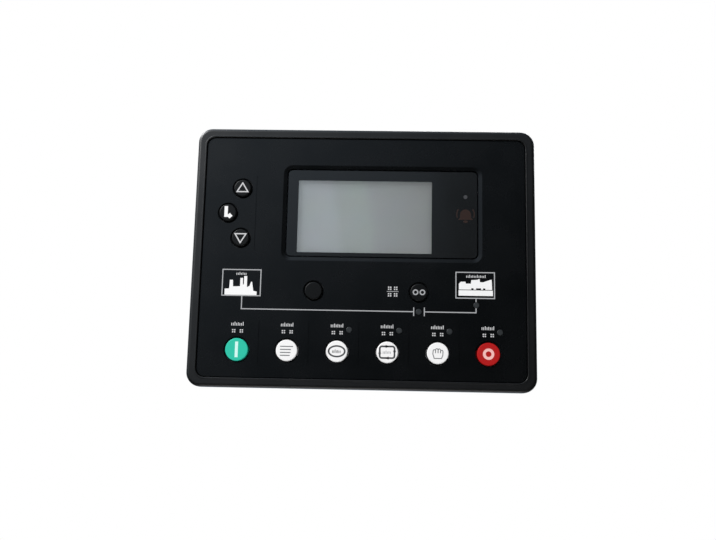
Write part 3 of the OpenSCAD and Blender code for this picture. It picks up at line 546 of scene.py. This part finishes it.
# The tones run across the glass along a leaning line. They are a painted reflection, lighter on the left
# and darker on the right.
reflection_lean = add(tree, "VectorMath", [(0, place.outputs["Generated"]), (1, REFLECTION_LEAN)], operation="DOT_PRODUCT")
painted_reflection = add(tree, "ValToRGB", [(0, reflection_lean.outputs["Value"])])
stops = painted_reflection.color_ramp.elements
stops.remove(stops[1])
for i, (position, colour) in enumerate(LCD_REFLECTION_TONES):
    stop = stops.new(position) if i else stops[0]
    stop.position = position
    stop.color = srgb(colour)
weave = add(tree, "TexNoise", [("Vector", place.outputs["Object"]), ("Scale", per_mm(WEAVE_MM)),
                               ("Detail", 2.0)])
tone = add(tree, "MixRGB", [(0, WEAVE_SHARE), (1, painted_reflection.outputs[0]), (2, weave.outputs["Color"])],
           blend_type="SOFT_LIGHT")
tree.links.new(tone.outputs[0], shader.inputs["Base Color"])
# Painted glow: the glass gives off its own colour though the display is no lamp. This stands in for the
# light that the lens keeps from it, and it evens out the shade at its edges.
tree.links.new(tone.outputs[0], shader.inputs["Emission Color"])
shader.inputs["Emission Strength"].default_value = LCD_PAINTED_GLOW
shader.inputs["Roughness"].default_value = 0.45
dress(["lcd_glass"], polariser)

# Frame of the display: pressed from thin steel and stove-enamelled black, round the glass. The enamel
# is smooth, with a low sheen.
enamel = moulded("black_enamelled_steel", ("141516", "191a1b"), 0.35, grain_mm=1.2, depth_mm=0.004)
dress(["lcd_frame"], enamel)

# Backlight: a moulded block of milky acrylic behind the glass, which spreads the light. It looks like
# plain white plastic with a soft sheen.
diffuser = moulded("white_diffuser_acrylic", ("e2e4e2", "eceeec"), 0.5, grain_mm=0.7, depth_mm=0.003)
dress(["lcd_backlight"], diffuser)

# Circuit boards: glass-epoxy laminate, etched and then coated with green solder resist. The copper shows
# through the coat as sheaves of paler tracks, some upright and some level, with plain fields between.
TRACK_PITCH_MM = 1.8
SHEAF_MM = 17.0
WAVE_UNIT = 2 * math.pi / 20  # width of one wave at scale 1
LEVEL_SHARE = 0.5
TRACKED_SHARE = 0.6
laminate, tree, shader = new_material("glass_epoxy_green_resist")
place = add(tree, "TexCoord")
face = add(tree, "Mapping", [("Vector", place.outputs["Object"]), ("Rotation", (math.pi / 2, 0, 0))])
sheaves = add(tree, "TexVoronoi", [("Vector", face.outputs[0]), ("Scale", per_mm(SHEAF_MM))],
              voronoi_dimensions="2D", distance="CHEBYCHEV")
chance = add(tree, "SeparateXYZ", [(0, sheaves.outputs["Color"])])
track_scale = per_mm(TRACK_PITCH_MM) * WAVE_UNIT
upright, level = (add(tree, "TexWave", [("Vector", face.outputs[0]), ("Scale", track_scale)],
                      bands_direction=way) for way in "XY")
is_level = add(tree, "Math", [(0, chance.outputs["X"]), (1, LEVEL_SHARE)], operation="LESS_THAN")
tracked = add(tree, "Math", [(0, chance.outputs["Y"]), (1, TRACKED_SHARE)], operation="LESS_THAN")
lines = add(tree, "MixRGB", [(0, is_level.outputs[0]), (1, upright.outputs["Fac"]),
                             (2, level.outputs["Fac"])])
copper = add(tree, "Math", [(0, lines.outputs[0]), (1, tracked.outputs[0])], operation="MULTIPLY")
edged = add(tree, "MapRange", [("Value", copper.outputs[0]), ("From Min", 0.5), ("From Max", 0.7)])
resist = add(tree, "MixRGB", [(0, edged.outputs[0]), (1, srgb("134a2c")), (2, srgb("1c623b"))])
tree.links.new(resist.outputs[0], shader.inputs["Base Color"])
shader.inputs["Roughness"].default_value = 0.32
dress(["display_board", "terminal_board"], laminate)

# Key mat: a sheet of matt grey silicone rubber on the display board, moulded with a hollow dome behind each
# key. Each dome is a piece of its own, with its own mesh. In use, a dome gives way under its key's stem and
# springs back.
UPPER_KEYS = ("key_up", "key_enter", "key_down", "key_blank", "key_breaker")
MAT_SHEET_MM = 1.2
MAT_CUT_MM = 0.02
DOME_REACH_MM = 6.0
silicone = moulded("grey_silicone_rubber", ("585c60", "63676b"), 0.6, grain_mm=0.7, depth_mm=0.006)
mat_low, mat_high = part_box("key_mat")
mat_cut_y = mat_high.y - (MAT_SHEET_MM + MAT_CUT_MM) * MM


def mat_piece(name, way, centres):
    """The mat's part behind a cut just in front of its sheet, where way is 1, or in front of it, where
    way is -1. Only the domes at these centres, in millimetres, are kept, and their walls are closed at
    the cut."""
    part = bmesh.new()
    part.from_mesh(nodes["key_mat"].data)
    bmesh.ops.remove_doubles(part, verts=part.verts, dist=WELD_M)
    bmesh.ops.bisect_plane(part, geom=part.verts[:] + part.edges[:] + part.faces[:], dist=WELD_M,
                           plane_co=(0, mat_cut_y, 0), plane_no=(0, way, 0), clear_inner=True)
    if way < 0:
        far = [v for v in part.verts
               if min(math.dist((v.co.x / MM, v.co.z / MM), c) for c in centres) > DOME_REACH_MM]
        bmesh.ops.delete(part, geom=far, context="VERTS")
    for c in centres:
        rims = [e for e in part.edges if e.is_boundary
                and math.dist((e.verts[0].co.x / MM, e.verts[0].co.z / MM), c) < DOME_REACH_MM]
        bmesh.ops.bridge_loops(part, edges=rims)
    bmesh.ops.recalc_face_normals(part, faces=part.faces)
    mesh = bpy.data.meshes.new(name)
    part.to_mesh(mesh)
    part.free()
    mesh.materials.append(silicone)
    piece = bpy.data.objects.new(name, mesh)
    bpy.context.scene.collection.objects.link(piece)
    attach(piece, "case")
    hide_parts("key_mat")
    return piece


mat_piece("key_mat_sheet", 1, [centre_mm(key) for key in LOWER_KEYS + UPPER_KEYS])
for key in LOWER_KEYS + UPPER_KEYS:
    x, z = centre_mm(key)
    dome = mat_piece(key.replace("key", "dome"), -1, [(x, z)])
    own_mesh(dome)

# Indicators: light pipes turned from acrylic, which lead the light of the lamps to the face. Their ends
# are frosted, so they are a dark, cloudy grey while the lamps are off.
frosted = moulded("acrylic_frosted_grey", ("262a2c", "303437"), 0.38, grain_mm=0.35, depth_mm=0.006,
                  cloud_mm=2.0)
dress(["light_pipes"], frosted)

# Lamps behind the light pipes: small packages of moulded epoxy, soldered to the display board. They are
# cream, with a slight sheen.
lamp_body = moulded("lamp_moulding_cream", ("e8e3cf", "f0ecdc"), 0.4, grain_mm=0.5, depth_mm=0.002)
dress(["leds"], lamp_body)

# Processor, current-sensing transformers and power converter: blocks of moulded epoxy, soldered to the
# boards. They are black with a dull sheen, and show the grain of their moulds.
epoxy = moulded("moulded_epoxy_black", ("131415", "191a1c"), 0.5, grain_mm=0.4, depth_mm=0.006)
dress(["processor", "sense_transformers", "power_converter"], epoxy)

# Board-to-board connector and the holder of the clock battery: moulded in black nylon, which has a soft
# sheen, and soldered to the boards.
nylon_black = moulded("nylon_black", ("16171a", "1c1d20"), 0.45, grain_mm=0.6, depth_mm=0.006)
dress(["link_header", "link_socket", "battery_holder"], nylon_black)

# Relays: sealed cases moulded in blue polyester, soldered in a row on the terminal board. The plastic is
# smooth, with an even sheen.
relay_blue = moulded("relay_case_blue", ("1c4391", "2249a0"), 0.35, grain_mm=0.8, depth_mm=0.003)
dress(["relays"], relay_blue)

# Capacitors: aluminium cans in a shrunk sleeve of dark blue film, soldered to the terminal board. The
# sleeve is glossy, and slightly puckered.
can_sleeve = moulded("shrunk_sleeve_dark_blue", ("222c4c", "28345a"), 0.3, grain_mm=1.4, depth_mm=0.004)
dress(["capacitors"], can_sleeve)

# Choke: enamelled copper wire wound round a ring core, soldered to the terminal board. The enamel gives
# the copper a brown gloss, and the bumps stand for its turns.
copper_wire = moulded("enamelled_copper_wire", ("7d4a22", "8c5628"), 0.3, grain_mm=0.9, depth_mm=0.05)
dress(["inductor"], copper_wire)

# Clock battery: a coin cell in a can of nickel-plated steel, pressed into its holder. The plated metal is
# bright, with fine lines along one way.
PLATING_RELIEF_MM = 0.004
LINE_STRETCH = (1.0, 1.0, 0.08)


def plated(name, colours, roughness, brush_mm):
    """Plated steel: turning or rolling lines along one way, in tone and in relief. The real lines are too
    fine to show, so they are drawn as coarse as they need to be."""
    material, tree, shader = new_material(name)
    place = add(tree, "TexCoord")
    stretch = add(tree, "Mapping", [("Vector", place.outputs["Object"]), ("Scale", LINE_STRETCH)])
    lines = add(tree, "TexNoise", [("Vector", stretch.outputs[0]), ("Scale", per_mm(brush_mm)),
                                   ("Detail", 2.0)])
    tone = add(tree, "MixRGB", [(0, lines.outputs["Fac"]), (1, srgb(colours[0])), (2, srgb(colours[1]))])
    relief = add(tree, "Bump", [("Height", lines.outputs["Fac"]), ("Distance", PLATING_RELIEF_MM * MM)])
    tree.links.new(tone.outputs[0], shader.inputs["Base Color"])
    tree.links.new(relief.outputs["Normal"], shader.inputs["Normal"])
    shader.inputs["Metallic"].default_value = 1.0
    shader.inputs["Roughness"].default_value = roughness
    return material


nickel = plated("nickel_plated_steel", ("b9bab8", "c9cac8"), 0.28, brush_mm=0.4)
dress(["clock_battery"], nickel)

# Service socket: a folded shell of tinned steel on the terminal board, a little duller than nickel. It
# stands round a tongue of white nylon that carries the contacts.
TONGUE_MM = (5.8, 3.4)
TONGUE_R_MM = 0.3
TONGUE_LONG_MM = 6.8
TONGUE_BACK_MM = 0.7
tinned = plated("tinned_steel_rolled", ("a9adb0", "bcc0c3"), 0.34, brush_mm=0.5)
dress(["usb_socket"], tinned)
tongue_nylon = moulded("nylon_natural", ("d8d6cc", "e2e0d7"), 0.45, grain_mm=0.6, depth_mm=0.006)
tongue = round_box(*centre_mm("usb_socket"), *TONGUE_MM, TONGUE_R_MM, steps=3)
tongue_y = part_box("usb_socket")[1].y - (TONGUE_BACK_MM + TONGUE_LONG_MM / 2) * MM
flat_piece("socket_tongue", [[tongue]], (0, tongue_y, 0), "case", tongue_nylon,
           TONGUE_LONG_MM)

# Terminals: green nylon headers on the board, and pull-off plugs with a wire entry and a clamp screw for
# each way. The plugs are a brighter green than the headers, satin, with a fine mould grain.
WAYS = {"inputs": 12, "outputs": 10, "sensors": 12, "supply": 12, "bus": 10, "current": 6}
header_nylon = moulded("nylon_green_header", ("1a6139", "1f6b41"), 0.45, grain_mm=0.6, depth_mm=0.008)
dress(["header_" + row for row in WAYS], header_nylon)
plug_nylon = moulded("nylon_green_plug", ("238049", "2a8a52"), 0.42, grain_mm=0.6, depth_mm=0.008)
dress(["plug_" + row for row in WAYS], plug_nylon)

# Screws: zinc-plated steel, in the plugs' clamps and through the housing and the boards. The plating is
# bluish and bright, with fine turning lines.
zinc = plated("zinc_plated_steel", ("a8acb0", "bfc3c8"), 0.3, brush_mm=0.3)
dress(["terminal_screws", "housing_screws", "board_screws"], zinc)

# Clamp cages: a folded square sleeve of zinc-plated steel in each wire entry, which its screw lifts on
# the wire. A low rib, moulded on the plug's back, parts each way from the next.
PLUG_SIDE_MM = 0.8
ENTRY_OFF_MM = 1.6
CAGE_MM = (3.0, 3.4)
CAGE_R_MM = 0.5
CAGE_BORE_MM = (2.2, 2.6)
CAGE_BORE_R_MM = 0.1
CAGE_LONG_MM = 4.6
CAGE_BACK_MM = 1.6
RIB_MM = 0.7
RIB_HALF_MM = 6.4
RIB_THICK_MM = 0.5
cages = []
ribs = []
for row, ways in WAYS.items():
    low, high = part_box("plug_" + row)
    x, z = centre_mm("plug_" + row)
    pitch = ((high.x - low.x) / MM - 2 * PLUG_SIDE_MM) / ways
    entry_z = z - math.copysign(ENTRY_OFF_MM, z)
    for i in range(1, ways):
        rib_left = x + (i - ways / 2) * pitch - RIB_MM / 2
        ribs.append([box_outline(rib_left, z - RIB_HALF_MM, rib_left + RIB_MM, z + RIB_HALF_MM)])
    for i in range(ways):
        entry_x = x + (i - (ways - 1) / 2) * pitch
        cages.append([round_box(entry_x, entry_z, *CAGE_MM, CAGE_R_MM, steps=3),
                      round_box(entry_x, entry_z, *CAGE_BORE_MM, CAGE_BORE_R_MM, steps=3)])
plug_back_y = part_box("plug_inputs")[1].y
cage_y = plug_back_y - (CAGE_BACK_MM + CAGE_LONG_MM / 2) * MM
flat_piece("clamp_cages", cages, (0, cage_y, 0), "case", zinc, CAGE_LONG_MM)
flat_piece("way_ribs", ribs, (0, plug_back_y, 0), "case", plug_nylon, RIB_THICK_MM)

# Rear housing: a deep stepped shell moulded in black ABS and held by screws. Its grain is coarser and
# more matt than the bezel's.
housing_abs = moulded("black_abs_grained", ("17181a", "1e1f22"), 0.5, grain_mm=0.9, depth_mm=0.02)
dress(["rear_housing"], housing_abs)

# Keys: caps moulded in coloured ABS that slide through the bezel's floor, each on a dome of the key mat.
# They have a soft sheen, and the coloured ones are a little more matt.
key_black = moulded("key_abs_black", ("050708", "090b0c"), 0.42, grain_mm=0.5, depth_mm=0.006, specular=0.3)
key_white = moulded("key_abs_white", ("eeeeef", "f3f3f4"), 0.45, grain_mm=0.5, depth_mm=0.006)
key_green = moulded("key_abs_green", ("1ebba0", "23c4a8"), 0.48, grain_mm=0.5, depth_mm=0.006, specular=0.3)
key_red = moulded("key_abs_red", ("a90405", "b10607"), 0.55, grain_mm=0.5, depth_mm=0.006, specular=0.2)
dress(UPPER_KEYS, key_black)
dress(["key_menu", "key_diagnostic", "key_auto", "key_manual"], key_white)
dress(["key_start"], key_green)
dress(["key_stop"], key_red)

# Print on the keys: matt screen ink on each top, so it moves with its key. It is pale on the dark and
# coloured keys, and grey on the white ones.
ENTER = [(-2.4, 4.6), (-2.4, -3.3), (0.3, -3.3), (1.4, -4.5), (3.5, -2.4), (1.5, -0.4), (0.2, -1.5),
         (0.0, -1.5), (0.0, 4.6)]
BREAKER_OFF_MM = 2.4
BREAKER_RING_MM = (2.0, 1.15)
START_BAR = (-1.05, -5.4, 1.05, 5.4)
STOP_RING_MM = (3.9, 1.95)
MENU_LEFT_MM = -4.5
MENU_LINE_MM = 0.68
MENU_LINES = ((2.7, 9.0), (0.6, 7.6), (-1.5, 7.4), (-3.5, 6.9))
OVAL_MM = (6.2, 4.2)
OVAL_INNER_MM = (5.0, 3.1)
OVAL_WORD = (0, 0, 6.2, 2.4, 7)
AUTO_FRAME_MM = (10.2, 8.0)
AUTO_WORD = (0, 0, 6.0, 2.2, 6)


def triangle(turn):
    """Arrow outline that points up, or down where turn is -1."""
    half, foot, tip, line = 3.9, 2.7, 3.7, 0.85
    return band([(-half, -foot * turn), (half, -foot * turn), (0, tip * turn)][::turn], line)


def hand():
    """Open hand: a rounded palm with four finger tips, outlined, and the lines between the fingers."""
    tip_r, line = 0.8, 0.6
    outline = [(-2.4, -3.6), (2.6, -3.6), (3.5, -1.4)]
    for x, top in ((2.75, 1.3), (1.05, 2.2), (-0.65, 2.3), (-2.35, 1.6)):
        outline += [(x + tip_r * math.cos(a), top + tip_r * math.sin(a))
                    for a in (0.15, 0.8, 1.57, 2.34, 2.99)]
    outline += [(-3.4, -0.6)]
    gaps = [stroke([(x, 0.0), (x, top)], line) for x, top in ((1.9, 1.4), (0.2, 2.0), (-1.5, 1.6))]
    return [band(outline, line)] + gaps


def arrow_frame(wide, tall):
    """Rounded frame with a small arrowhead in the middle of each side."""
    corner_r, line, head, tip = 1.5, 1.2, 1.1, 1.43
    marks = [band(round_box(0, 0, wide, tall, corner_r), line)]
    for x, z, dx, dz in ((0, tall / 2, 1, 0), (0, -tall / 2, -1, 0),
                         (wide / 2, 0, 0, -1), (-wide / 2, 0, 0, 1)):
        marks.append([[(x + dx * tip, z + dz * tip),
                       (x - dx * head - dz * head, z - dz * head + dx * head),
                       (x - dx * head + dz * head, z - dz * head - dx * head)]])
    return marks


def ring(cx, outer, inner):
    """Round ring whose centre lies cx to the right of the key's middle."""
    return [ellipse(cx, 0, outer, outer), ellipse(cx, 0, inner, inner)]


grey_ink = screen_ink("grey", ("6c6e71", "76787b"))
dark_ink = screen_ink("dark_grey", ("3e4043", "484a4d"))
mint_ink = screen_ink("mint", ("c8f0ea", "d2f5ef"))
rose_ink = screen_ink("rose", ("eeb4b0", "f2bdb9"))
breaker_rings = [ring(side * BREAKER_OFF_MM, *BREAKER_RING_MM) for side in (-1, 1)]
menu_lines = [[box_outline(MENU_LEFT_MM, z - MENU_LINE_MM / 2, MENU_LEFT_MM + long, z + MENU_LINE_MM / 2)]
              for z, long in MENU_LINES]
oval = [ellipse(0, 0, *OVAL_MM), ellipse(0, 0, *OVAL_INNER_MM)]
KEY_MARKS = (
    ("key_up", "_mark", "key_black", soft_ink, [triangle(1)]),
    ("key_down", "_mark", "key_black", soft_ink, [triangle(-1)]),
    ("key_enter", "_mark", "key_black", white_ink, [[ENTER]]),
    ("key_breaker", "_mark", "key_black", pale_ink, breaker_rings),
    ("key_start", "_mark", "key_green", mint_ink, [[box_outline(*START_BAR)]]),
    ("key_stop", "_mark", "key_red", rose_ink, [ring(0, *STOP_RING_MM)]),
    ("key_menu", "_mark", "key_white", grey_ink, menu_lines),
    ("key_diagnostic", "_mark", "key_white", dark_ink, [oval] + legend(*OVAL_WORD)),
    ("key_auto", "_mark", "key_white", dark_ink, arrow_frame(*AUTO_FRAME_MM)),
    ("key_manual", "_mark", "key_white", grey_ink, hand()),
    ("key_auto", "_word", "key_white", pale_ink, legend(*AUTO_WORD)),
)
for key, ending, slot, ink, marks in KEY_MARKS:
    x, z = centre_mm(key)
    flat_piece(key + ending, marks, (x * MM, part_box(key)[0].y, z * MM), key, ink)
